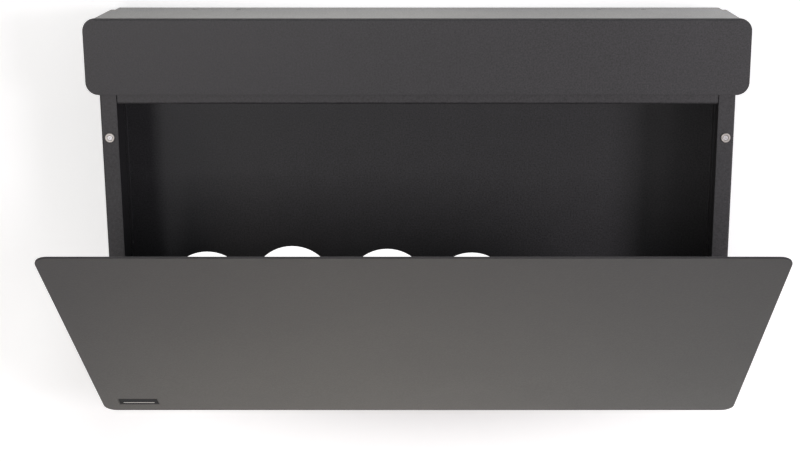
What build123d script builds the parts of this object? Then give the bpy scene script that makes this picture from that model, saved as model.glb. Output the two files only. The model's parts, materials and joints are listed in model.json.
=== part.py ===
from build123d import *
import os
from math import cos, radians, sin

# Wall mounted mailbox in folded sheet steel, with a lifting lid and a door that folds down.
# Frame: +X right, +Y into the wall, +Z up. The origin is on the wall, in the middle of the
# four wall holes. The lid is shut and the door stands open on its stays.

# Casing
body_width = 601.0
body_depth = 104.0
body_bottom = -184.0
body_top = 197.5
sheet = 1.5
bend_radius = 1.25
flange_width = 16.0
part_gap = 0.3

# Lid and door
panel_width = 624.0
panel_sheet = 2.0
panel_bend_radius = 1.5
corner_radius = 12.0
front_gap = 2.0
lid_top = 200.0
lid_height = 72.0
lid_fold_height = 10.0
lid_door_gap = 2.0
door_height = 314.0
door_open_angle = 45.6

# Wall holes and round openings of the back panel
wall_hole_spacing_x = 500.0
wall_hole_spacing_z = 300.0
wall_hole_radius = 3.25
opening_radius = 43.0
opening_centres = [(-221.5, -97.0), (-133.0, -91.0), (-34.3, -94.0), (53.7, -98.0)]
back_flange = 9.0
back_flange_foot = 12.0
back_flange_top = 190.0
back_flange_gap = 4.0
strip_top = 198.6
strip_depth = 28.5

# Floor and top rail
floor_lip = 12.0
floor_front_gap = 2.5
floor_flange_foot = 8.0
floor_flange_gap = 3.0
drain_radius = 4.0
drain_spacing = 100.0
drain_count = 5
rail_bottom = 118.8
rail_height = 45.0
rail_lower_depth = 16.0
rail_upper_depth = 14.0
rail_tab_inner = 262.0
rail_tab_outer = 297.0
rail_tab_margin = 4.0

# Hinges
hinge_length = 70.0
hinge_offset_x = 200.0
knuckle_radius = 2.0
pin_radius = 1.0
pin_fit = 0.05
pin_head_radius = 1.6
pin_head_height = 0.8
knuckle_gap = 0.4
leaf_sheet = 1.0
leaf_start = 2.6
leaf_length = 20.0
door_axis_y = -103.7
door_axis_z = body_bottom
lid_axis_y = -31.0
lid_axis_z = 196.0
lid_rear_edge = -33.0
leaf_rivet_spacing = 44.0

# Door stays
stay_radius = 50.0
stay_band = 8.0
stud_angle = 20.0
stay_end_angle = 74.0
stay_inner_face = 279.5
stay_tab = 16.0
stud_radius = 2.5
slot_clearance = 0.3
stud_spacer_radius = 4.0
stud_spacer_face = 281.5
stud_head_face = 279.0
stud_head_radius = 4.5
stud_head_height = 2.0
stud_tail_radius = 2.0

# Magnets, bumpers and name plate
magnet_x = 292.5
magnet_z = 86.5
magnet_radius = 4.5
magnet_height = 1.7
magnet_edge = 0.25
screw_radius = 1.25
screw_head_radius = 2.3
screw_head_height = 1.1
screw_length = 6.0
sink_radius = 2.8
sink_depth = (sink_radius - screw_radius) * screw_head_height / (screw_head_radius - screw_radius)
screw_top = magnet_height - sink_depth + screw_head_height
socket_across_flats = 1.5
socket_depth = 0.9
nut_across_flats = 5.0
nut_height = 2.0
bumper_z = 178.0
bumper_radius = 4.0
bumper_height = 1.6
plate_pocket_x = -275.8
plate_pocket_z = 21.8
plate_pocket_width = 38.6
plate_pocket_height = 12.8
plate_pocket_depth = 1.0
plate_margin = 0.4
plate_thickness = 0.6
plate_corner_radius = 0.6

# Rivets
rivet_radius = 1.6
rivet_head_radius = 2.6
rivet_head_height = 1.0
low_head_height = 0.5
rivet_collar_radius = 2.0
rivet_collar_height = 0.8
side_rivet_heights = [-140.0, -43.0, 115.0]
side_rivet_depth = -5.4
floor_rivet_depths = [-80.0, -30.0]
floor_rivet_z = -177.0
rail_rivet_x = 291.0
rail_rivet_heights = [136.0, 152.0]
leaf_rivet_reach = 15.0

# Worked out from the driving dimensions
half_body = body_width / 2
inner_x = half_body - sheet
flange_face = -body_depth
panel_back = flange_face - front_gap
panel_front = panel_back - panel_sheet
lid_bottom = lid_top - lid_height
door_top = lid_bottom - lid_door_gap
door_bottom = door_top - door_height
door_axis = Axis((0, door_axis_y, door_axis_z), (1, 0, 0))
stud_y = door_axis_y + stay_radius * sin(radians(stud_angle))
stud_z = door_axis_z + stay_radius * cos(radians(stud_angle))
sides = [("left", -1), ("right", 1)]

os.makedirs("parts", exist_ok=True)


def save(shape, node):
    """Write one sub-part."""
    export_step(shape, f"parts/{node}.step")


def block(x0, x1, y0, y1, z0, z1):
    """A box between two opposite corners."""
    return Pos((x0 + x1) / 2, (y0 + y1) / 2, (z0 + z1) / 2) * Box(x1 - x0, y1 - y0, z1 - z0)


def round_bar(radius, start, direction, length):
    """A cylinder from a point along a direction."""
    return Plane(origin=start, z_dir=direction) * extrude(Circle(radius), length)


def folded(points, thickness, radius, plane, start, length):
    """A sheet folded along its mid-line, drawn in a plane and drawn out along its normal."""
    section = trace(FilletPolyline(*points, radius=radius), thickness)
    return extrude(plane.offset(start) * section, length)


def rivet(grip, head_height):
    """A rivet along -Z, with its domed head on z 0 and its collar under the grip."""
    head = extrude(Circle(rivet_head_radius), head_height)
    head = fillet(head.edges().group_by(Axis.Z)[-1], head_height * 0.8)
    shank = Pos(0, 0, -grip) * extrude(Circle(rivet_radius), grip)
    collar = extrude(Circle(rivet_collar_radius), rivet_collar_height)
    return head + shank + Pos(0, 0, -grip - rivet_collar_height) * collar


def placed(shape, origin, direction):
    """A piece made along +Z, moved to a point and turned to a direction."""
    return Plane(origin=origin, z_dir=direction) * shape


def rounded_panel(bottom, top):
    """A flat front panel with four rounded corners."""
    outline = Pos(0, (bottom + top) / 2) * RectangleRounded(panel_width, top - bottom, corner_radius)
    return extrude(Plane.XZ.offset(-panel_back) * outline, panel_sheet)


def side_panel():
    """The right side panel: a wall with a return flange at the front."""
    mid = sheet / 2
    points = [(half_body - mid, 0), (half_body - mid, flange_face + mid),
              (half_body - flange_width, flange_face + mid)]
    panel = folded(points, sheet, bend_radius, Plane.XY, body_bottom, body_top - body_bottom)
    for z in side_rivet_heights:
        panel -= round_bar(rivet_radius, (inner_x - 1, side_rivet_depth, z), (1, 0, 0), sheet + 2)
    for y in floor_rivet_depths:
        panel -= round_bar(rivet_radius, (inner_x - 1, y, floor_rivet_z), (1, 0, 0), sheet + 2)
    for z in rail_rivet_heights:
        panel -= round_bar(rivet_radius, (rail_rivet_x, flange_face - 1, z), (0, 1, 0), sheet + 2)
    panel -= round_bar(stud_tail_radius, (inner_x - 1, stud_y, stud_z), (1, 0, 0), sheet + 2)
    panel -= round_bar(screw_radius, (magnet_x, flange_face - 1, magnet_z), (0, 1, 0), sheet + 2)
    return panel


def back_panel():
    """The back: a wall sheet with a top strip, side flanges, four openings and four wall holes."""
    mid = sheet / 2
    points = [(-mid, body_bottom), (-mid, strip_top - mid), (-strip_depth, strip_top - mid)]
    panel = folded(points, sheet, bend_radius, Plane.YZ, -inner_x, 2 * inner_x)
    flange_bottom = body_bottom + floor_lip + back_flange_gap
    flange_x = inner_x - mid
    flange_points = [(inner_x - back_flange_foot, -mid), (flange_x, -mid), (flange_x, -back_flange)]
    flange_height = back_flange_top - flange_bottom
    flange = folded(flange_points, sheet, bend_radius, Plane.XY, flange_bottom, flange_height)
    for z in side_rivet_heights:
        flange -= round_bar(rivet_radius, (inner_x - sheet - 1, side_rivet_depth, z), (1, 0, 0), sheet + 2)
    panel += flange + mirror(flange, Plane.YZ)
    for x, z in opening_centres:
        panel -= round_bar(opening_radius, (x, -sheet - 1, z), (0, 1, 0), sheet + 2)
    for x in (-wall_hole_spacing_x / 2, wall_hole_spacing_x / 2):
        for z in (-wall_hole_spacing_z / 2, wall_hole_spacing_z / 2):
            panel -= round_bar(wall_hole_radius, (x, -sheet - 1, z), (0, 1, 0), sheet + 2)
    for x in leaf_rivet_places():
        panel -= round_bar(rivet_radius, (x, lid_axis_y + leaf_rivet_reach, strip_top - sheet - 1),
                           (0, 0, 1), sheet + 2)
    return panel


def floor_panel():
    """The floor: a tray with a front lip, turned up against the back and the sides, with drain holes."""
    mid = sheet / 2
    back_y = -sheet - mid
    front_y = flange_face + floor_front_gap + mid
    lip_top = body_bottom + floor_lip
    floor_z = body_bottom + mid
    points = [(back_y, lip_top), (back_y, floor_z), (front_y, floor_z), (front_y, lip_top)]
    panel = folded(points, sheet, bend_radius, Plane.YZ, -inner_x, 2 * inner_x)
    flange_x = inner_x - mid
    flange_points = [(inner_x - floor_flange_foot, floor_z), (flange_x, floor_z), (flange_x, lip_top)]
    flange = folded(flange_points, sheet, bend_radius, Plane.XZ, back_flange + floor_flange_gap,
                    body_depth - back_flange - 3 * floor_flange_gap)
    for y in floor_rivet_depths:
        flange -= round_bar(rivet_radius, (inner_x - sheet - 1, y, floor_rivet_z), (1, 0, 0), sheet + 2)
    panel += flange + mirror(flange, Plane.YZ)
    for i in range(drain_count):
        x = (i - (drain_count - 1) / 2) * drain_spacing
        panel -= round_bar(drain_radius, (x, -body_depth / 2, body_bottom - 1), (0, 0, 1), sheet + 2)
    for x in leaf_rivet_places():
        panel -= round_bar(rivet_radius, (x, door_axis_y + leaf_rivet_reach, body_bottom - 1),
                           (0, 0, 1), sheet + 2)
    return panel


def top_rail():
    """The channel across the front, set between the flanges and held by a tab behind each one."""
    mid = sheet / 2
    half_length = half_body - flange_width - part_gap
    web_y = flange_face + mid
    top = rail_bottom + rail_height
    points = [(flange_face + rail_lower_depth, rail_bottom + mid), (web_y, rail_bottom + mid),
              (web_y, top - mid), (flange_face + rail_upper_depth, top - mid)]
    rail = folded(points, sheet, bend_radius, Plane.YZ, -half_length, 2 * half_length)
    tab = block(rail_tab_inner, rail_tab_outer, flange_face + sheet, flange_face + 2 * sheet,
                rail_bottom + rail_tab_margin, top - rail_tab_margin)
    for z in rail_rivet_heights:
        tab -= round_bar(rivet_radius, (rail_rivet_x, flange_face - 1, z), (0, 1, 0), 3 * sheet)
    return rail + tab + mirror(tab, Plane.YZ)


def lid():
    """The lid: a front panel with rounded corners, folded back at the top into a narrower plate."""
    mid = panel_sheet / 2
    front = rounded_panel(lid_bottom, lid_top)
    fold_z = lid_top - lid_fold_height
    front -= block(-half_body, half_body, panel_front - 1, panel_back + 1, fold_z, lid_top + 1)
    points = [(panel_front + mid, fold_z), (panel_front + mid, lid_top - mid),
              (lid_rear_edge, lid_top - mid)]
    return front + folded(points, panel_sheet, panel_bend_radius, Plane.YZ, -half_body, body_width)


def door_panel():
    """The door, shut: a flat panel with a shallow pocket for the name plate."""
    door = rounded_panel(door_bottom, door_top)
    half_width = plate_pocket_width / 2
    half_height = plate_pocket_height / 2
    z = door_bottom + plate_pocket_z
    return door - block(plate_pocket_x - half_width, plate_pocket_x + half_width, panel_front - 1,
                        panel_front + plate_pocket_depth, z - half_height, z + half_height)


def name_plate():
    """The blank name plate, set in the door's pocket, door shut."""
    width = plate_pocket_width - 2 * plate_margin
    height = plate_pocket_height - 2 * plate_margin
    outline = RectangleRounded(width, height, plate_corner_radius)
    place = Pos(plate_pocket_x, door_bottom + plate_pocket_z)
    back = panel_front + plate_pocket_depth
    return extrude(Plane.XZ.offset(-back) * (place * outline), plate_thickness)


def knuckle(start, end):
    """A hinge knuckle along X, solid until the leaf's pin hole is cut."""
    return round_bar(knuckle_radius, (start, 0, 0), (1, 0, 0), end - start)


def hinge_leaf(outer_knuckles, near_face, side_first):
    """A leaf about an axis at the origin. Its plate lies on y near_face and runs along +Z.

    The outer leaf holds the two end knuckles, and the other leaf holds the middle one.
    """
    third = hinge_length / 6
    half = hinge_length / 2
    spans = [(-half, -third - knuckle_gap / 2), (third + knuckle_gap / 2, half)]
    if not outer_knuckles:
        spans = [(-third + knuckle_gap / 2, third - knuckle_gap / 2)]
    y0, y1 = sorted((near_face, near_face + side_first * leaf_sheet))
    leaf = block(-half, half, y0, y1, leaf_start, leaf_length)
    for start, end in spans:
        leaf += block(start, end, y0, y1, 0, leaf_start)
        leaf += knuckle(start, end)
    if outer_knuckles:
        for x in (-leaf_rivet_spacing / 2, leaf_rivet_spacing / 2):
            leaf -= round_bar(rivet_radius, (x, y0 - 1, leaf_rivet_reach), (0, 1, 0), leaf_sheet + 2)
    return leaf - round_bar(pin_radius + pin_fit, (-half - 1, 0, 0), (1, 0, 0), hinge_length + 2)


def hinge_pin():
    """A hinge pin along X, about the origin, with a peened head at each end."""
    reach = hinge_length / 2 + part_gap
    pin = round_bar(pin_radius, (-reach, 0, 0), (1, 0, 0), 2 * reach)
    for way in (-1, 1):
        pin += round_bar(pin_head_radius, (way * reach, 0, 0), (way, 0, 0), pin_head_height)
    return pin


def leaf_rivet_places():
    """Where the rivets of the body leaves stand along X."""
    half = leaf_rivet_spacing / 2
    return [way * hinge_offset_x + step for way in (-1, 1) for step in (-half, half)]


def door_stay():
    """The right door stay, door shut: a slotted quadrant on a tab that is welded to the door."""
    inner = stay_radius - stay_band
    outer = stay_radius + stay_band
    plate = trace(CenterArc((0, 0), stay_radius, 90 - stay_end_angle, stay_end_angle), 2 * stay_band)
    root_y = panel_back - door_axis_y
    plate += Pos(root_y / 2 + 1, stay_radius) * Rectangle(2 - root_y, 2 * stay_band)
    slot_width = 2 * (stud_radius + slot_clearance)
    first = 90 - stud_angle - door_open_angle
    slot = trace(CenterArc((0, 0), stay_radius, first, door_open_angle), slot_width)
    for angle in (first, first + door_open_angle):
        slot += Rot(0, 0, angle) * (Pos(stay_radius, 0) * Circle(slot_width / 2))
    plate -= slot
    stay = extrude(Plane.YZ.offset(stay_inner_face) * plate, sheet)
    stay = Pos(0, door_axis_y, door_axis_z) * stay
    tab = block(stay_inner_face - stay_tab, stay_inner_face + sheet, panel_back, panel_back + sheet,
                door_axis_z + inner, door_axis_z + outer)
    return stay + tab


def stay_stud():
    """The right stay stud: a riveted tail, a spacer, a shoulder for the slot and a head."""
    along = (-1, 0, 0)
    stud = round_bar(stud_tail_radius, (half_body, stud_y, stud_z), along, sheet)
    stud += round_bar(stud_spacer_radius, (inner_x, stud_y, stud_z), along, inner_x - stud_spacer_face)
    shoulder = stud_spacer_face - stud_head_face
    stud += round_bar(stud_radius, (stud_spacer_face, stud_y, stud_z), along, shoulder)
    head = round_bar(stud_head_radius, (stud_head_face, stud_y, stud_z), along, stud_head_height)
    head = fillet(head.edges().group_by(Axis.X)[0], stud_head_height * 0.4)
    return stud + head


def magnet():
    """A ring magnet along +Z with a countersunk hole."""
    ring = extrude(Circle(magnet_radius), magnet_height)
    ring = chamfer(ring.edges().group_by(Axis.Z)[-1], magnet_edge)
    ring -= extrude(Circle(screw_radius), magnet_height)
    sink = Cone(screw_radius, sink_radius, sink_depth)
    return ring - Pos(0, 0, magnet_height - sink_depth / 2) * sink


def magnet_screw():
    """A countersunk screw along +Z, sunk a little into the magnet, with a hexagon socket."""
    top = screw_top
    head = Pos(0, 0, top - screw_head_height / 2) * Cone(screw_radius, screw_head_radius, screw_head_height)
    shank = Pos(0, 0, top - screw_length) * extrude(Circle(screw_radius), screw_length - screw_head_height)
    socket_radius = socket_across_flats / 2 / cos(radians(30))
    socket = Pos(0, 0, top - socket_depth) * extrude(RegularPolygon(socket_radius, 6), socket_depth)
    return head + shank - socket


def magnet_nut():
    """A hexagon nut along +Z, behind the flange."""
    nut = extrude(RegularPolygon(nut_across_flats / 2 / cos(radians(30)), 6), nut_height)
    nut -= extrude(Circle(screw_radius), nut_height)
    return Pos(0, 0, -sheet - nut_height) * nut


def bumper():
    """A round rubber bumper along +Z."""
    dome = extrude(Circle(bumper_radius), bumper_height)
    return fillet(dome.edges().group_by(Axis.Z)[-1], bumper_height * 0.6)


def opened(shape):
    """A piece of the door, turned from shut to where the stays hold it."""
    return shape.rotate(door_axis, door_open_angle)


# Casing
right_side = side_panel()
save(right_side, "right_side_panel")
save(mirror(right_side, Plane.YZ), "left_side_panel")
save(back_panel(), "back_panel")
save(floor_panel(), "floor_panel")
save(top_rail(), "top_rail")

# Lid and door
save(lid(), "lid")
save(opened(door_panel()), "door_panel")
save(opened(name_plate()), "name_plate")

# Hinges: the door's axis is under the floor's front edge, and the lid's is behind its plate
door_leaf_face = panel_back - door_axis_y
lid_leaf_face = lid_top - panel_sheet - lid_axis_z
strip_leaf_face = strip_top - sheet - lid_axis_z
for name, way in sides:
    door_place = Pos(way * hinge_offset_x, door_axis_y, door_axis_z)
    lid_place = Pos(way * hinge_offset_x, lid_axis_y, lid_axis_z)
    floor_leaf = Rot(-90, 0, 0) * hinge_leaf(True, 0, 1)
    save(door_place * floor_leaf, f"door_hinge_floor_leaf_{name}")
    save(opened(door_place * hinge_leaf(False, door_leaf_face, 1)), f"door_hinge_door_leaf_{name}")
    save(door_place * hinge_pin(), f"door_hinge_pin_{name}")
    strip_leaf = Rot(-90, 0, 0) * hinge_leaf(True, -strip_leaf_face, 1)
    save(lid_place * strip_leaf, f"lid_hinge_body_leaf_{name}")
    lid_leaf = Rot(90, 0, 0) * hinge_leaf(False, lid_leaf_face, -1)
    save(lid_place * lid_leaf, f"lid_hinge_lid_leaf_{name}")
    save(lid_place * hinge_pin(), f"lid_hinge_pin_{name}")

# Stays and their studs
right_stay = opened(door_stay())
right_stud = stay_stud()
save(right_stay, "door_stay_right")
save(mirror(right_stay, Plane.YZ), "door_stay_left")
save(right_stud, "stay_stud_right")
save(mirror(right_stud, Plane.YZ), "stay_stud_left")

# Magnets with their screws and nuts, and the lid's bumpers, on the front flanges
for name, way in sides:
    place = (way * magnet_x, flange_face, magnet_z)
    save(placed(magnet(), place, (0, -1, 0)), f"ring_magnet_{name}")
    save(placed(magnet_screw(), place, (0, -1, 0)), f"magnet_screw_{name}")
    save(placed(magnet_nut(), place, (0, -1, 0)), f"magnet_nut_{name}")
    save(placed(bumper(), (way * rail_rivet_x, flange_face, bumper_z), (0, -1, 0)), f"lid_bumper_{name}")

# Rivets, in groups of separate solids
two_sheets = 2 * sheet
leaf_grip = sheet + leaf_sheet
sheet_rivet = rivet(two_sheets, rivet_head_height)
low_leaf_rivet = rivet(leaf_grip, low_head_height)
leaf_rivet = rivet(leaf_grip, rivet_head_height)
side_rivets = [placed(sheet_rivet, (way * half_body, side_rivet_depth, z), (way, 0, 0))
               for way in (-1, 1) for z in side_rivet_heights]
floor_rivets = [placed(sheet_rivet, (way * half_body, y, floor_rivet_z), (way, 0, 0))
                for way in (-1, 1) for y in floor_rivet_depths]
rail_rivets = [placed(sheet_rivet, (way * rail_rivet_x, flange_face, z), (0, -1, 0))
               for way in (-1, 1) for z in rail_rivet_heights]
lid_hinge_rivets = [placed(low_leaf_rivet, (x, lid_axis_y + leaf_rivet_reach, strip_top), (0, 0, 1))
                    for x in leaf_rivet_places()]
leaf_face = body_bottom - leaf_sheet
door_hinge_rivets = [placed(leaf_rivet, (x, door_axis_y + leaf_rivet_reach, leaf_face), (0, 0, -1))
                     for x in leaf_rivet_places()]
save(Compound(side_rivets), "side_rivets")
save(Compound(floor_rivets), "floor_rivets")
save(Compound(rail_rivets), "rail_rivets")
save(Compound(lid_hinge_rivets), "lid_hinge_rivets")
save(Compound(door_hinge_rivets), "door_hinge_rivets")
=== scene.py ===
import json
import math

import bmesh
import bpy
from mathutils import Matrix, Vector


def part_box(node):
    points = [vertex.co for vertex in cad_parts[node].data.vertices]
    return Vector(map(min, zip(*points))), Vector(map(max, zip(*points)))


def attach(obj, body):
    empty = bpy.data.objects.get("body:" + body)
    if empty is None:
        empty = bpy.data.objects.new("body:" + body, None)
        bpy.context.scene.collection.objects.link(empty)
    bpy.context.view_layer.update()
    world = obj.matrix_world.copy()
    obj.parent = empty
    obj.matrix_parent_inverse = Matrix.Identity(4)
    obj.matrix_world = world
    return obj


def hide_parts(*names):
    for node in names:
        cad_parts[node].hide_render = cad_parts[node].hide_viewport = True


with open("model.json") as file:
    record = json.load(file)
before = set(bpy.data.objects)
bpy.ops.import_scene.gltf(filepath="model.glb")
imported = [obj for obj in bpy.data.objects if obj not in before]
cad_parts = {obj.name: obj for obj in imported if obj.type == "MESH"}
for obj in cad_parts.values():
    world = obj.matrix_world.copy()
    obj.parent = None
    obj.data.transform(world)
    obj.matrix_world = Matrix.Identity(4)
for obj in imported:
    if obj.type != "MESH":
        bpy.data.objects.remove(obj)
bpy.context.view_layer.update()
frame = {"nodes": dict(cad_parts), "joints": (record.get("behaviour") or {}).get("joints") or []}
nodes = frame["nodes"]

# Camera: a short telephoto in front of the box and a little above it, tilted down at the door.
# It stands right of the middle, and the film is shifted so that the box stays in the frame.
film_width = 36.0
focal_length = 68.1
sideways_shift = -0.0559
camera_place = (0.0256, -1.5188, 0.3623)
tilt_down = 14.56
camera_data = bpy.data.cameras.new("front_camera")
camera_data.sensor_width = film_width
camera_data.lens = focal_length
camera_data.shift_x = sideways_shift
camera_data.clip_end = 50.0
camera = bpy.data.objects.new("front_camera", camera_data)
camera.location = camera_place
camera.rotation_euler = (math.radians(90 - tilt_down), 0.0, 0.0)
bpy.context.collection.objects.link(camera)
bpy.context.scene.camera = camera
bpy.context.scene.view_settings.view_transform = "Standard"


# Studio: a white wall behind the box, a pale floor well below it, and a card on the wall that glows
# for the camera only, a painted glow that shows white through the round openings. The wall throws
# light in soft pools, bright above the lid and warm low down. To the camera it shows painted shade
# under the box and left of it, and painted light right of it and above the lid. All three are clear
# from behind.
def stage_plane(name, corners, material):
    mesh = bpy.data.meshes.new(name)
    mesh.from_pydata(corners, [], [(0, 1, 2, 3)])
    mesh.materials.append(material)
    plane = bpy.data.objects.new(name, mesh)
    bpy.context.collection.objects.link(plane)


def backdrop_material(name, colour, glow=0.0):
    material = bpy.data.materials.new(name)
    material.use_nodes = True
    surface = material.node_tree.nodes["Principled BSDF"]
    surface.inputs["Base Color"].default_value = (*colour, 1)
    surface.inputs["Roughness"].default_value = 0.9
    surface.inputs["Specular IOR Level"].default_value = 0.1
    surface.inputs["Emission Color"].default_value = (1, 1, 1, 1)
    surface.inputs["Emission Strength"].default_value = glow
    return material


def clear_from_behind(material):
    tree = material.node_tree
    mix = tree.nodes.new("ShaderNodeMixShader")
    tree.links.new(tree.nodes.new("ShaderNodeNewGeometry").outputs["Backfacing"], mix.inputs["Fac"])
    tree.links.new(tree.nodes["Principled BSDF"].outputs["BSDF"], mix.inputs[1])
    tree.links.new(tree.nodes.new("ShaderNodeBsdfTransparent").outputs["BSDF"], mix.inputs[2])
    tree.links.new(mix.outputs["Shader"], tree.nodes["Material Output"].inputs["Surface"])


def light_pool(tree, centre, radii, colour):
    """A soft elliptical pool of colour on the wall, full in its middle and nothing at its rim."""
    place = tree.nodes.new("ShaderNodeTexCoord")
    chain = [("SUBTRACT", (centre[0], 0, centre[1])), ("DIVIDE", (radii[0], 1, radii[1])),
             ("LENGTH", None)]
    source = place.outputs["Object"]
    for operation, value in chain:
        step = tree.nodes.new("ShaderNodeVectorMath")
        step.operation = operation
        tree.links.new(source, step.inputs[0])
        if value:
            step.inputs[1].default_value = value
        source = step.outputs["Value" if operation == "LENGTH" else "Vector"]
    fade = tree.nodes.new("ShaderNodeMapRange")
    fade.interpolation_type = "SMOOTHSTEP"
    fade.inputs["To Min"].default_value = 1.0
    fade.inputs["To Max"].default_value = 0.0
    tree.links.new(source, fade.inputs["Value"])
    tint = tree.nodes.new("ShaderNodeVectorMath")
    tint.operation = "SCALE"
    tint.inputs[0].default_value = colour
    tree.links.new(fade.outputs["Result"], tint.inputs["Scale"])
    return tint.outputs["Vector"]


def added(tree, first, second):
    total = tree.nodes.new("ShaderNodeVectorMath")
    total.operation = "ADD"
    tree.links.new(first, total.inputs[0])
    if isinstance(second, tuple):
        total.inputs[1].default_value = second
    else:
        tree.links.new(second, total.inputs[1])
    return total.outputs["Vector"]


def camera_ray(tree):
    return tree.nodes.new("ShaderNodeLightPath").outputs["Is Camera Ray"]


def upright(y, left, right, bottom, top):
    return [(left, y, bottom), (right, y, bottom), (right, y, top), (left, y, top)]


wall_y = 0.0015
card_y = 0.0007
floor_z = -0.85
room = 5.0
card_glow_seen = 1.15
wall_white = backdrop_material("wall_white", (0.84, 0.84, 0.84), 1.0)
tree = wall_white.node_tree
thrown = (0.0, 0.0, 0.0)
for centre, radii, colour in (((0.0, -0.1), (1.0, 1.0), (0.75, 0.76, 0.74)),
                              ((-0.10, -0.5), (0.6, 0.6), (0.66, 0.57, 0.41)),
                              ((0.5, -0.5), (0.5, 0.5), (0.40, 0.40, 0.33)),
                              ((-0.08, 0.5), (0.64, 0.45), (1.95, 1.93, 1.84)),
                              ((0.5, 0.35), (0.45, 0.45), (1.57, 1.56, 1.55))):
    thrown = added(tree, light_pool(tree, centre, radii, colour), thrown)
# Painted shade and light: the camera sees a dark pool on the wall under the box and left of it, and
# bright pools right of it and above the lid.
seen_painted_light_and_shade = (0.46, 0.46, 0.46)
for centre, radii, shade in (((0.02, -0.195), (0.38, 0.11), -0.36),
                             ((-0.33, -0.20), (0.10, 0.14), -0.12),
                             ((0.44, 0.05), (0.26, 0.50), 0.22),
                             ((0.0, 0.29), (0.55, 0.20), 0.32)):
    seen_painted_light_and_shade = added(tree, light_pool(tree, centre, radii, (shade, shade, shade)), seen_painted_light_and_shade)
by_ray = tree.nodes.new("ShaderNodeMix")
by_ray.data_type = "VECTOR"
tree.links.new(camera_ray(tree), by_ray.inputs[0])
tree.links.new(thrown, by_ray.inputs[4])
tree.links.new(seen_painted_light_and_shade, by_ray.inputs[5])
tree.links.new(by_ray.outputs[1], tree.nodes["Principled BSDF"].inputs["Emission Color"])
clear_from_behind(wall_white)
floor_white = backdrop_material("floor_white", (0.84, 0.82, 0.80))
clear_from_behind(floor_white)
# Painted glow: the card is grey, but it glows for the camera only, so white shows through the
# openings where there would be shade.
card_painted_glow = backdrop_material("card_painted_glow", (0.3, 0.3, 0.3))
tree = card_painted_glow.node_tree
card_glow = tree.nodes.new("ShaderNodeMapRange")
card_glow.inputs["To Max"].default_value = card_glow_seen
tree.links.new(camera_ray(tree), card_glow.inputs["Value"])
tree.links.new(card_glow.outputs["Result"],
               tree.nodes["Principled BSDF"].inputs["Emission Strength"])
clear_from_behind(card_painted_glow)
stage_plane("studio_wall", upright(wall_y, -room, room, floor_z, room), wall_white)
stage_plane("studio_floor", [(-room, -room, floor_z), (room, -room, floor_z), (room, room, floor_z),
                             (-room, room, floor_z)], floor_white)
stage_plane("painted_glow_wall_card", upright(card_y, -0.27, 0.10, -0.14, -0.045), card_painted_glow)


# Lamps: a small softbox near the lens, wider ones to the right and left, and a long low one in
# front, in a pale room that gives a little cool light of its own.
def soft_light(name, place, width, height, power, colour):
    data = bpy.data.lights.new(name, "AREA")
    data.shape = "RECTANGLE"
    data.size, data.size_y, data.energy, data.color = width, height, power, colour
    light = bpy.data.objects.new(name, data)
    light.location = place
    light.rotation_euler = (-Vector(place)).to_track_quat("-Z", "Y").to_euler()
    bpy.context.collection.objects.link(light)


soft_light("lens_softbox", (-0.60, -2.0, 0.24), 0.28, 0.45, 4.7, (1.0, 1.0, 1.0))
soft_light("right_softbox", (1.61, -2.0, 0.27), 0.6, 0.5, 15.0, (1.0, 0.95, 1.0))
soft_light("left_softbox", (-1.6, -1.9, 0.5), 0.8, 0.8, 4.3, (1.0, 0.85, 0.74))
soft_light("low_softbox", (0.0, -2.6, -0.6), 2.4, 0.5, 6.8, (1.0, 0.89, 0.90))
room_thrown = 0.31
room_seen = 0.95
world = bpy.data.worlds.new("pale_room")
world.use_nodes = True
tree = world.node_tree
room_light = tree.nodes.new("ShaderNodeMapRange")
room_light.inputs["To Min"].default_value = room_thrown
room_light.inputs["To Max"].default_value = room_seen
tree.links.new(camera_ray(tree), room_light.inputs["Value"])
tree.nodes["Background"].inputs["Color"].default_value = (0.93, 0.98, 1.0, 1)
tree.links.new(room_light.outputs["Result"], tree.nodes["Background"].inputs["Strength"])
bpy.context.scene.world = world


# Back panel: a shallow tray of 1.5 mm steel, laser cut with four round openings and four wall
# holes, and folded into a top strip and two side flanges. It is coated with the whole casing in a
# fine-grained anthracite powder, a little uneven in tone, with its edges and folds painted darker
# as painted shade.
def new_group(name, inputs, outputs):
    group = bpy.data.node_groups.new(name, "ShaderNodeTree")
    for label, kind, value in inputs:
        socket = group.interface.new_socket(label, in_out="INPUT", socket_type=kind)
        socket.default_value = value
    for label, kind in outputs:
        group.interface.new_socket(label, in_out="OUTPUT", socket_type=kind)
    return group, group.nodes.new("NodeGroupInput"), group.nodes.new("NodeGroupOutput")


def feed(tree, socket, value):
    """Links a socket to another, or sets it to a plain value."""
    if isinstance(value, bpy.types.NodeSocket):
        tree.links.new(value, socket)
    else:
        socket.default_value = value


def noise(tree, coordinates, scale, detail, roughness=0.5):
    texture = tree.nodes.new("ShaderNodeTexNoise")
    texture.inputs["Detail"].default_value = detail
    texture.inputs["Roughness"].default_value = roughness
    feed(tree, texture.inputs["Scale"], scale)
    tree.links.new(coordinates, texture.inputs["Vector"])
    return texture.outputs["Fac"]


def spread(tree, value, low, high, start=0.0, end=1.0):
    """Maps a value from the range start to end onto low to high, held inside it."""
    node = tree.nodes.new("ShaderNodeMapRange")
    for label, given in (("Value", value), ("From Min", start), ("From Max", end), ("To Min", low),
                         ("To Max", high)):
        feed(tree, node.inputs[label], given)
    return node.outputs["Result"]


def maths(tree, operation, a, b):
    node = tree.nodes.new("ShaderNodeMath")
    node.operation = operation
    feed(tree, node.inputs[0], a)
    feed(tree, node.inputs[1], b)
    return node.outputs["Value"]


def scaled(tree, colour, factor):
    node = tree.nodes.new("ShaderNodeVectorMath")
    node.operation = "SCALE"
    feed(tree, node.inputs[0], colour)
    feed(tree, node.inputs["Scale"], factor)
    return node.outputs["Vector"]


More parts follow.
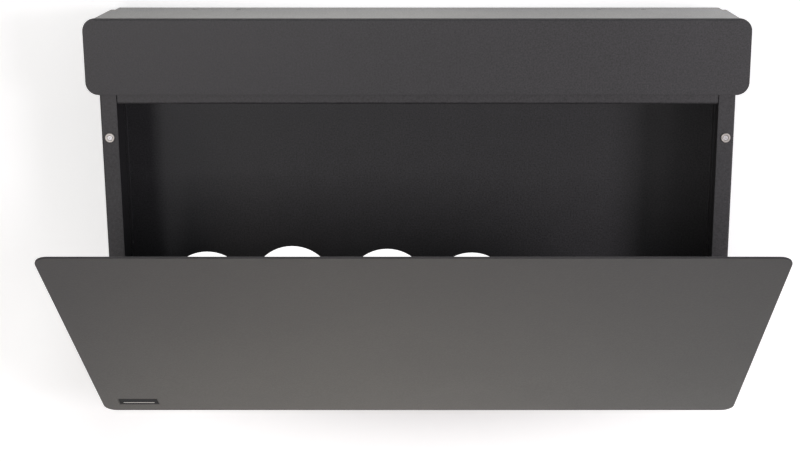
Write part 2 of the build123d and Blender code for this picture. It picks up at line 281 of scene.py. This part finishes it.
def mix_colour(tree, factor, a, b):
    node = tree.nodes.new("ShaderNodeMix")
    node.data_type = "RGBA"
    for label, value in (("Factor", factor), ("A", a), ("B", b)):
        socket = next(s for s in node.inputs if s.name == label and s.enabled)
        feed(tree, socket, value)
    return next(s for s in node.outputs if s.enabled)


def grain_group():
    """Coat grain: the fine pebbled skin of a baked powder, with a slow drift in tone and gloss."""
    group, inside, outside = new_group(
        "coat grain",
        [("Colour", "NodeSocketColor", (0.05, 0.05, 0.05, 1)),
         ("Grain scale", "NodeSocketFloat", 640.0), ("Mottle", "NodeSocketFloat", 0.2),
         ("Gloss low", "NodeSocketFloat", 0.42), ("Gloss high", "NodeSocketFloat", 0.54)],
        [("Colour", "NodeSocketColor"), ("Roughness", "NodeSocketFloat"),
         ("Height", "NodeSocketFloat")])
    place = group.nodes.new("ShaderNodeTexCoord").outputs["Object"]
    scale = inside.outputs["Grain scale"]
    grain = spread(group, noise(group, place, scale, 3.0, 0.6), 0.0, 1.0, 0.3, 0.7)
    pores = group.nodes.new("ShaderNodeTexVoronoi")
    group.links.new(place, pores.inputs["Vector"])
    group.links.new(maths(group, "MULTIPLY", scale, 0.6), pores.inputs["Scale"])
    drift = noise(group, place, 7.0, 3.0)
    patches = noise(group, place, 60.0, 4.0, 0.65)
    slow = maths(group, "ADD", maths(group, "MULTIPLY", drift, 0.3),
                 maths(group, "MULTIPLY", patches, 0.3))
    tone = maths(group, "ADD", slow, maths(group, "MULTIPLY", grain, 0.9))
    middle_tone = 0.75
    shade = maths(group, "MULTIPLY", maths(group, "SUBTRACT", tone, middle_tone),
                  inside.outputs["Mottle"])
    tinted = scaled(group, inside.outputs["Colour"], maths(group, "ADD", shade, 1.0))
    group.links.new(tinted, outside.inputs["Colour"])
    gloss = spread(group, tone, inside.outputs["Gloss low"], inside.outputs["Gloss high"], 0.5, 1.0)
    group.links.new(gloss, outside.inputs["Roughness"])
    bumps = maths(group, "ADD", grain, maths(group, "MULTIPLY", pores.outputs["Distance"], 0.7))
    group.links.new(bumps, outside.inputs["Height"])
    return group


def edge_group():
    """Edge band: a mask along edges and folds, a little uneven along its length."""
    group, inside, outside = new_group(
        "edge wear and shade",
        [("Width", "NodeSocketFloat", 0.0008), ("Amount", "NodeSocketFloat", 1.0),
         ("Breakup scale", "NodeSocketFloat", 120.0)],
        [("Mask", "NodeSocketFloat")])
    place = group.nodes.new("ShaderNodeTexCoord").outputs["Object"]
    rounded = group.nodes.new("ShaderNodeBevel")
    rounded.samples = 4
    group.links.new(inside.outputs["Width"], rounded.inputs["Radius"])
    flat = group.nodes.new("ShaderNodeNewGeometry")
    same = group.nodes.new("ShaderNodeVectorMath")
    same.operation = "DOT_PRODUCT"
    group.links.new(rounded.outputs["Normal"], same.inputs[0])
    group.links.new(flat.outputs["Normal"], same.inputs[1])
    edge_gain = 8.0
    edge = maths(group, "MULTIPLY", maths(group, "SUBTRACT", 1.0, same.outputs["Value"]), edge_gain)
    breakup = spread(group, noise(group, place, inside.outputs["Breakup scale"], 4.0, 0.6),
                     0.6, 1.3)
    worn = maths(group, "MULTIPLY", maths(group, "MULTIPLY", edge, breakup),
                 inside.outputs["Amount"])
    clamp = group.nodes.new("ShaderNodeClamp")
    group.links.new(worn, clamp.inputs["Value"])
    group.links.new(clamp.outputs["Result"], outside.inputs["Mask"])
    return group


def dust_group():
    """Dust: a pale film that settles on faces that look up, in soft clouds."""
    group, inside, outside = new_group(
        "settled dust",
        [("Amount", "NodeSocketFloat", 0.3), ("Cloud scale", "NodeSocketFloat", 18.0)],
        [("Mask", "NodeSocketFloat")])
    place = group.nodes.new("ShaderNodeTexCoord").outputs["Object"]
    facing = group.nodes.new("ShaderNodeSeparateXYZ")
    flat = group.nodes.new("ShaderNodeNewGeometry")
    group.links.new(flat.outputs["Normal"], facing.inputs["Vector"])
    upward = spread(group, facing.outputs["Z"], 0.0, 1.0, 0.3, 0.95)
    clouds = spread(group, noise(group, place, inside.outputs["Cloud scale"], 5.0, 0.65),
                    0.2, 1.0, 0.3, 0.8)
    mask = maths(group, "MULTIPLY", maths(group, "MULTIPLY", upward, clouds),
                 inside.outputs["Amount"])
    group.links.new(mask, outside.inputs["Mask"])
    return group


coat_grain = grain_group()
edge_wear_and_shade = edge_group()
settled_dust = dust_group()


def place_group(tree, group, values):
    node = tree.nodes.new("ShaderNodeGroup")
    node.node_tree = group
    for label, value in values.items():
        node.inputs[label].default_value = value
    return node


def new_finish(name):
    material = bpy.data.materials.new(name)
    material.use_nodes = True
    return material, material.node_tree, material.node_tree.nodes["Principled BSDF"]


def add_relief(tree, surface, height, distance, strength):
    relief = tree.nodes.new("ShaderNodeBump")
    relief.inputs["Strength"].default_value = strength
    relief.inputs["Distance"].default_value = distance
    tree.links.new(height, relief.inputs["Height"])
    tree.links.new(relief.outputs["Normal"], surface.inputs["Normal"])


def powder_coat(name, colour, edge_colour, gloss, dust=0.25, mottle=1.0):
    material, tree, surface = new_finish(name)
    grain = place_group(tree, coat_grain, {"Colour": (*colour, 1), "Mottle": mottle,
                                           "Gloss low": gloss[0], "Gloss high": gloss[1]})
    wear_and_shade_mask = place_group(tree, edge_wear_and_shade, {"Width": 0.0011, "Amount": 0.9})
    film = place_group(tree, settled_dust, {"Amount": dust})
    # The edge mask mixes in the edge colour: a dark edge colour paints shade along edges and folds,
    # while the stays' lighter one is rubbed wear.
    shade = mix_colour(tree, wear_and_shade_mask.outputs["Mask"], grain.outputs["Colour"], (*edge_colour, 1))
    dust_colour = (0.16, 0.155, 0.15, 1)
    shade = mix_colour(tree, film.outputs["Mask"], shade, dust_colour)
    tree.links.new(shade, surface.inputs["Base Color"])
    tree.links.new(grain.outputs["Roughness"], surface.inputs["Roughness"])
    add_relief(tree, surface, grain.outputs["Height"], 0.00004, 0.7)
    return material


def finish_node(label, material, edge_width, segments=2, rim=None, clamp=False):
    """Gives a frame node its finish, and rounds its cut edges as deburring and the coat do.

    A clamped node rounds no further than its narrowest face allows. The folded sheets whose
    folds end in slivers need that, and their edges stay nearly sharp.
    """
    node = nodes[label]
    node.data.materials.clear()
    node.data.materials.append(material)
    weld = node.modifiers.new("join_faces", "WELD")
    weld.merge_threshold = 0.000002
    flats = node.modifiers.new("merge_flats", "DECIMATE")
    flats.decimate_type = "DISSOLVE"
    flats.angle_limit = math.radians(0.2)
    bevel = node.modifiers.new("soft_edges", "BEVEL")
    bevel.width = edge_width
    bevel.segments = segments
    bevel.limit_method = "ANGLE"
    bevel.angle_limit = math.radians(40)
    bevel.use_clamp_overlap = clamp
    # The rim material goes on the rounded edge faces. The dark rim coat paints shade there.
    if rim:
        node.data.materials.append(rim)
        bevel.material = 1
    level = node.modifiers.new("level_faces", "WEIGHTED_NORMAL")
    level.weight = 100
    level.keep_sharp = True


anthracite = (0.044, 0.0425, 0.046)
# Painted shade: the dark colour painted along the coat's edges, folds and rims.
painted_edge_shade = (0.015, 0.015, 0.017)
casing_coat = powder_coat("anthracite_casing_coat", anthracite, painted_edge_shade, (0.44, 0.56))
# Rim coat: painted shade, a dark coat for the rounded edges of the rail and the lid.
rim_painted_shade_coat = powder_coat("anthracite_rim_painted_shade_coat", painted_edge_shade, painted_edge_shade, (0.5, 0.6))
rim_painted_shade_coat.node_tree.nodes["Principled BSDF"].inputs["Specular IOR Level"].default_value = 0.3
finish_node("back_panel", casing_coat, 0.0003, clamp=True)


# Side panels: two walls of 1.5 mm steel, each folded at the front into a flange 16 mm wide. The
# back panel, the floor and the rail are riveted to them, and the whole casing is coated at once.
for side in ("left", "right"):
    finish_node(f"{side}_side_panel", casing_coat, 0.0003)


# Floor: a folded tray between the side panels, with a low lip at the front and five drain holes.
# It wears a little more than the walls, since the letters and the hand slide over it.
floor_coat = powder_coat("anthracite_floor_coat", anthracite, painted_edge_shade, (0.38, 0.50), 0.35)
finish_node("floor_panel", floor_coat, 0.0003, clamp=True)


# Top rail: a channel of 1.5 mm steel across the front, under the lid, that keeps the casing
# square. A tab behind each flange takes two rivets.
# Its rounded edges take the rim coat, a painted shade line along them.
finish_node("top_rail", casing_coat, 0.0005, rim=rim_painted_shade_coat)


# Rivets: blind aluminium rivets, painted like the casing, with a domed head, the snapped end of
# the mandrel in its middle, and the swollen blind side behind the sheets. They hold the back, the
# floor and the rail to the sides, and the body leaves of the hinges.
def solids_of(label):
    """The box of each separate solid of a frame node, found by joining faces at shared points."""
    mesh = nodes[label].data
    keys = [tuple(round(value, 6) for value in vertex.co) for vertex in mesh.vertices]
    parent = {key: key for key in keys}

    def root(key):
        while parent[key] != key:
            parent[key] = parent[parent[key]]
            key = parent[key]
        return key

    for polygon in mesh.polygons:
        first = root(keys[polygon.vertices[0]])
        for index in polygon.vertices[1:]:
            parent[root(keys[index])] = first
    groups = {}
    for key in parent:
        groups.setdefault(root(key), []).append(key)
    boxes = []
    for points in groups.values():
        low = Vector(min(point[axis] for point in points) for axis in range(3))
        high = Vector(max(point[axis] for point in points) for axis in range(3))
        boxes.append((low, high))
    return sorted(boxes, key=lambda box: tuple(round(value, 5) for value in box[0]))


def turned(builder, profile, matrix, steps):
    """Adds a solid of revolution about Z from (radius, height) points that start and end on Z."""
    rings = []
    for radius, height in profile:
        if radius == 0:
            rings.append([builder.verts.new(matrix @ Vector((0, 0, height)))])
            continue
        ring = []
        for step in range(steps):
            angle = 2 * math.pi * step / steps
            point = Vector((radius * math.cos(angle), radius * math.sin(angle), height))
            ring.append(builder.verts.new(matrix @ point))
        rings.append(ring)
    for lower, upper in zip(rings, rings[1:]):
        for step in range(steps):
            after = (step + 1) % steps
            if len(lower) == 1:
                builder.faces.new((lower[0], upper[after], upper[step]))
            elif len(upper) == 1:
                builder.faces.new((lower[step], lower[after], upper[0]))
            else:
                builder.faces.new((lower[step], lower[after], upper[after], upper[step]))


def finished_piece(name, builder, material, body, smooth_angle=35):
    """Closes a mesh that was built, and gives it its finish and body."""
    bmesh.ops.recalc_face_normals(builder, faces=builder.faces)
    mesh = bpy.data.meshes.new(name)
    builder.to_mesh(mesh)
    builder.free()
    mesh.materials.append(material)
    mesh.shade_smooth()
    mesh.set_sharp_from_angle(angle=math.radians(smooth_angle))
    piece = bpy.data.objects.new(name, mesh)
    bpy.context.collection.objects.link(piece)
    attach(piece, body)
    return piece


def rivet_profile(length, head_height):
    """Half a set blind rivet, blind end first, with z 0 at the blind end and length at the dome."""
    head, shank, bulb, mandrel, dimple = 0.0026, 0.00160, 0.0020, 0.00055, 0.00075
    seat = length - head_height
    bulb_height = 0.0008
    points = [(0, 0.0), (mandrel, 0.0), (mandrel, 0.00012), (bulb * 0.72, 0.00004),
              (bulb * 0.95, 0.0002), (bulb, 0.00042), (bulb * 0.97, bulb_height),
              (shank, bulb_height), (shank, seat), (head * 0.985, seat)]
    for degrees in range(0, 71, 10):
        angle = math.radians(degrees)
        rise = 0.12 + 0.88 * math.sin(angle)
        points.append((head * math.cos(angle) ** 0.8, seat + head_height * rise))
    points += [(dimple, length), (mandrel, length - 0.00028), (mandrel, length - 0.00010),
               (mandrel * 0.7, length - 0.00004), (0, length - 0.00006)]
    return points


rivet_paint, tree, surface = new_finish("painted_rivet")
grain = place_group(tree, coat_grain, {"Colour": (0.046, 0.0445, 0.048, 1), "Grain scale": 1500.0,
                                       "Gloss low": 0.30, "Gloss high": 0.42})
wear_and_shade_mask = place_group(tree, edge_wear_and_shade, {"Width": 0.0003, "Amount": 0.8, "Breakup scale": 900.0})
bare_aluminium = (0.22, 0.22, 0.225, 1)
tree.links.new(mix_colour(tree, wear_and_shade_mask.outputs["Mask"], grain.outputs["Colour"], bare_aluminium),
               surface.inputs["Base Color"])
tree.links.new(grain.outputs["Roughness"], surface.inputs["Roughness"])
add_relief(tree, surface, grain.outputs["Height"], 0.00003, 0.5)

full_head = 0.0010
low_head = 0.0005
rivet_steps = 28
rivet_groups = [("side_rivets", "x", full_head), ("floor_rivets", "x", full_head),
                ("rail_rivets", "y", full_head), ("lid_hinge_rivets", "up", low_head),
                ("door_hinge_rivets", "down", full_head)]
for label, kind, head_height in rivet_groups:
    builder = bmesh.new()
    for low, high in solids_of(label):
        middle = (low + high) / 2
        if kind == "x":
            way = 1.0 if middle.x > 0 else -1.0
            direction, length = Vector((way, 0, 0)), high.x - low.x
            start = Vector((low.x if way > 0 else high.x, middle.y, middle.z))
        elif kind == "y":
            direction, length = Vector((0, -1, 0)), high.y - low.y
            start = Vector((middle.x, high.y, middle.z))
        else:
            way = 1.0 if kind == "up" else -1.0
            direction, length = Vector((0, 0, way)), high.z - low.z
            start = Vector((middle.x, middle.y, low.z if way > 0 else high.z))
        matrix = Matrix.Translation(start) @ direction.to_track_quat("Z", "Y").to_matrix().to_4x4()
        turned(builder, rivet_profile(length, head_height), matrix, rivet_steps)
    piece = finished_piece(f"blind_{label}", builder, rivet_paint, "housing")
    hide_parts(label)


# Magnets: a nickel plated ring on each front flange that holds the shut door, with a stainless
# countersunk screw through it, hexagon socket, and a nut behind the flange.
def bare_metal(name, colour, gloss, mottle=0.12, scale=1600.0):
    material, tree, surface = new_finish(name)
    surface.inputs["Metallic"].default_value = 1.0
    grain = place_group(tree, coat_grain, {"Colour": (*colour, 1), "Mottle": mottle,
                                           "Grain scale": scale, "Gloss low": gloss[0],
                                           "Gloss high": gloss[1]})
    wear_and_shade_mask = place_group(tree, edge_wear_and_shade, {"Width": 0.00025, "Amount": 0.3, "Breakup scale": 700.0})
    bright = tuple(min(1.0, value * 1.2) for value in colour)
    tree.links.new(mix_colour(tree, wear_and_shade_mask.outputs["Mask"], grain.outputs["Colour"], (*bright, 1)),
                   surface.inputs["Base Color"])
    tree.links.new(grain.outputs["Roughness"], surface.inputs["Roughness"])
    add_relief(tree, surface, grain.outputs["Height"], 0.00001, 0.4)
    return material


nickel = bare_metal("bright_nickel_plate", (0.50, 0.475, 0.45), (0.30, 0.42))
screw_steel = bare_metal("turned_screw_steel", (0.58, 0.58, 0.59), (0.24, 0.36))
plain_steel = bare_metal("plain_stainless_steel", (0.56, 0.555, 0.545), (0.26, 0.42))
for side in ("left", "right"):
    finish_node(f"ring_magnet_{side}", nickel, 0.0001)
    finish_node(f"magnet_screw_{side}", screw_steel, 0.00006)
    finish_node(f"magnet_nut_{side}", plain_steel, 0.00012)


# Bumpers: two soft black rubber buttons glued to the flanges, high up, that the lid rests on.
rubber, tree, surface = new_finish("black_rubber")
surface.inputs["Specular IOR Level"].default_value = 0.35
grain = place_group(tree, coat_grain, {"Colour": (0.013, 0.013, 0.014, 1), "Grain scale": 2200.0,
                                       "Mottle": 0.35, "Gloss low": 0.62, "Gloss high": 0.80})
film = place_group(tree, settled_dust, {"Amount": 0.5, "Cloud scale": 400.0})
rubber_dust = (0.10, 0.10, 0.10, 1)
tree.links.new(mix_colour(tree, film.outputs["Mask"], grain.outputs["Colour"], rubber_dust),
               surface.inputs["Base Color"])
tree.links.new(grain.outputs["Roughness"], surface.inputs["Roughness"])
add_relief(tree, surface, grain.outputs["Height"], 0.00003, 0.5)
for side in ("left", "right"):
    finish_node(f"lid_bumper_{side}", rubber, 0.0001)


# Stay studs: zinc plated shoulder studs, riveted through the side panels. Each one runs in the
# slot of a door stay and stops the door when it is open.
zinc = bare_metal("zinc_plate", (0.60, 0.61, 0.63), (0.30, 0.46), 0.35, 700.0)
for side in ("left", "right"):
    finish_node(f"stay_stud_{side}", zinc, 0.00015)


# Lid: one sheet of 2 mm steel, folded back at the top. Its front panel has four rounded corners
# and stands proud of the casing on both sides, and its top plate ends at the hinges.
front_coat = powder_coat("anthracite_lid_coat", anthracite, painted_edge_shade, (0.44, 0.56))
# Its rounded edges take the rim coat, painted shade along them.
finish_node("lid", front_coat, 0.0007, segments=3, rim=rim_painted_shade_coat, clamp=True)


# Lid hinges: a riveted body leaf under the top strip and a lid leaf spot welded under the top
# plate, both 1 mm stainless steel, turned round one pin. The welds leave small round marks.
def weld_marks(name, spots, normal, material, body):
    """Shallow round spot-weld marks on a leaf or tab: a raised rim round a slightly sunk middle."""
    profile = [(0, 0.00001), (0.0011, 0.00002), (0.0016, 0.00010), (0.0020, 0.00013),
               (0.0024, 0.00009), (0.0028, 0.0), (0.0027, -0.00005), (0, -0.00005)]
    builder = bmesh.new()
    turn = Vector(normal).to_track_quat("Z", "Y").to_matrix().to_4x4()
    for spot in spots:
        turned(builder, profile, Matrix.Translation(Vector(spot)) @ turn, 28)
    finished_piece(name, builder, material, body, smooth_angle=60)


weld_burn = bare_metal("spot_weld_mark", (0.40, 0.37, 0.35), (0.35, 0.5), 0.6, 900.0)
weld_step = 0.026
weld_inset = 0.009
lid_sheet = 0.002
leaf_sheet = 0.001
for side in ("left", "right"):
    for label in ("body_leaf", "lid_leaf"):
        finish_node(f"lid_hinge_{label}_{side}", plain_steel, 0.00012)
    finish_node(f"lid_hinge_pin_{side}", screw_steel, 0.00015)
    low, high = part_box(f"lid_hinge_lid_leaf_{side}")
    middle_x, weld_y = (low[0] + high[0]) / 2, low[1] + weld_inset
    leaf_face_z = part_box("lid")[1][2] - lid_sheet - leaf_sheet
    spots = [(middle_x + step * weld_step, weld_y, leaf_face_z) for step in (-1, 0, 1)]
    weld_marks(f"lid_weld_marks_{side}", spots, (0, 0, -1), weld_burn, "lid")


# Door: one flat sheet of 2 mm steel with four rounded corners, hinged at its lower edge and held
# open by its stays. Its coat is the lid's.
door_coat = powder_coat("anthracite_door_coat", anthracite, painted_edge_shade, (0.44, 0.56), mottle=0.45)
door_sheet = 0.002
finish_node("door_panel", door_coat, 0.0005, segments=3)


# Door frame of reference: a point is given shut, from the middle of the door's lower edge, as a
# distance to the right, a distance up the door and a distance out from its front face.
door_joint = next(joint for joint in frame["joints"] if joint["name"] == "door_hinge")
open_turn = Matrix.Rotation(math.radians(-door_joint["range_deg"][0]), 4, "X")
door_axis = Vector(door_joint["pos_m"])
shut_face_y = -0.108
shut_bottom_z = -0.188


def on_door(right, up, out):
    shut = Vector((right, shut_face_y - out, shut_bottom_z + up))
    return door_axis + open_turn @ (shut - door_axis)


door_out = open_turn.to_3x3() @ Vector((0, -1, 0))


# Name plate: a small black anodised plate set in a pocket of the door, with no lettering. A plain
# bright line is inlaid along it, with a fine step round its rim.
plate_black, tree, surface = new_finish("black_plate")
surface.inputs["Specular IOR Level"].default_value = 0.05
grain = place_group(tree, coat_grain, {"Colour": (0.009, 0.011, 0.015, 1), "Grain scale": 1800.0,
                                       "Mottle": 0.3, "Gloss low": 0.40, "Gloss high": 0.52})
wear_and_shade_mask = place_group(tree, edge_wear_and_shade, {"Width": 0.0003, "Amount": 0.3, "Breakup scale": 500.0})
plate_edge = (0.16, 0.165, 0.18, 1)
tree.links.new(mix_colour(tree, wear_and_shade_mask.outputs["Mask"], grain.outputs["Colour"], plate_edge),
               surface.inputs["Base Color"])
tree.links.new(grain.outputs["Roughness"], surface.inputs["Roughness"])
add_relief(tree, surface, grain.outputs["Height"], 0.00001, 0.4)
finish_node("name_plate", plate_black, 0.00012)

plate_sunk = 0.0004
plate_middle = (-0.2758, 0.0218)


def door_strip(name, middle, width, height, thick, out, material):
    """A thin bar with round ends and softened edges, laid on the door at a given height."""
    builder = bmesh.new()
    rim = []
    radius = height / 2
    for end, start in ((1, -90), (-1, 90)):
        for step in range(9):
            angle = math.radians(start + step * 22.5)
            rim.append((end * (width / 2 - radius) + radius * math.cos(angle),
                        radius * math.sin(angle)))
    layers = [(1.0, 0.0), (1.0, thick * 0.6), (1.0 - thick / height, thick)]
    rings = []
    for shrink, rise in layers:
        ring = []
        for across, along in rim:
            core = math.copysign(width / 2 - radius, across)
            ring.append(builder.verts.new(on_door(middle[0] + core + (across - core) * shrink,
                                                  middle[1] + along * shrink, out + rise)))
        rings.append(ring)
    count = len(rim)
    for lower, upper in zip(rings, rings[1:]):
        for step in range(count):
            after = (step + 1) % count
            builder.faces.new((lower[step], lower[after], upper[after], upper[step]))
    builder.faces.new(rings[-1])
    builder.faces.new(list(reversed(rings[0])))
    finished_piece(name, builder, material, "door")


inlay_metal = bare_metal("bright_inlay_line", (0.52, 0.52, 0.53), (0.30, 0.42), 0.25, 1200.0)
inlay_drop = 0.0032
inlay_length, inlay_height, inlay_thick = 0.0306, 0.0013, 0.00012
inlay_bed = 0.00002
door_strip("name_plate_inlay", (plate_middle[0], plate_middle[1] - inlay_drop), inlay_length,
           inlay_height, inlay_thick, -plate_sunk - inlay_bed, inlay_metal)


# Door hinges: a body leaf riveted under the floor's front edge and a door leaf spot welded to the
# inside of the door, both 1 mm stainless steel, turned round one pin.
door_hinge_out = 0.2
leaf_weld_up = 0.016
for side, way in (("left", -1), ("right", 1)):
    for label in ("floor_leaf", "door_leaf"):
        finish_node(f"door_hinge_{label}_{side}", plain_steel, 0.00012)
    finish_node(f"door_hinge_pin_{side}", screw_steel, 0.00015)
    spots = [on_door(way * door_hinge_out + step * weld_step, leaf_weld_up,
                     -(door_sheet + leaf_sheet)) for step in (-1, 0, 1)]
    weld_marks(f"door_weld_marks_{side}", spots, -door_out, weld_burn, "door")


# Door stays: two slotted quadrants of 1.5 mm coated steel, each on a folded tab that is spot
# welded inside the door. The stud at the slot's end holds the door half open.
rubbed_edge = (0.12, 0.12, 0.122)
stay_coat = powder_coat("anthracite_stay_coat", anthracite, rubbed_edge, (0.40, 0.52))
stay_sheet = 0.0015
tab_out = 0.2715
tab_middle_up = 0.054
tab_weld_step = 0.0045
for side, way in (("left", -1), ("right", 1)):
    finish_node(f"door_stay_{side}", stay_coat, 0.0002)
    spots = [on_door(way * tab_out, tab_middle_up + step * tab_weld_step,
                     -(door_sheet + stay_sheet)) for step in (-1, 1)]
    weld_marks(f"stay_weld_marks_{side}", spots, -door_out, stay_coat, "door")
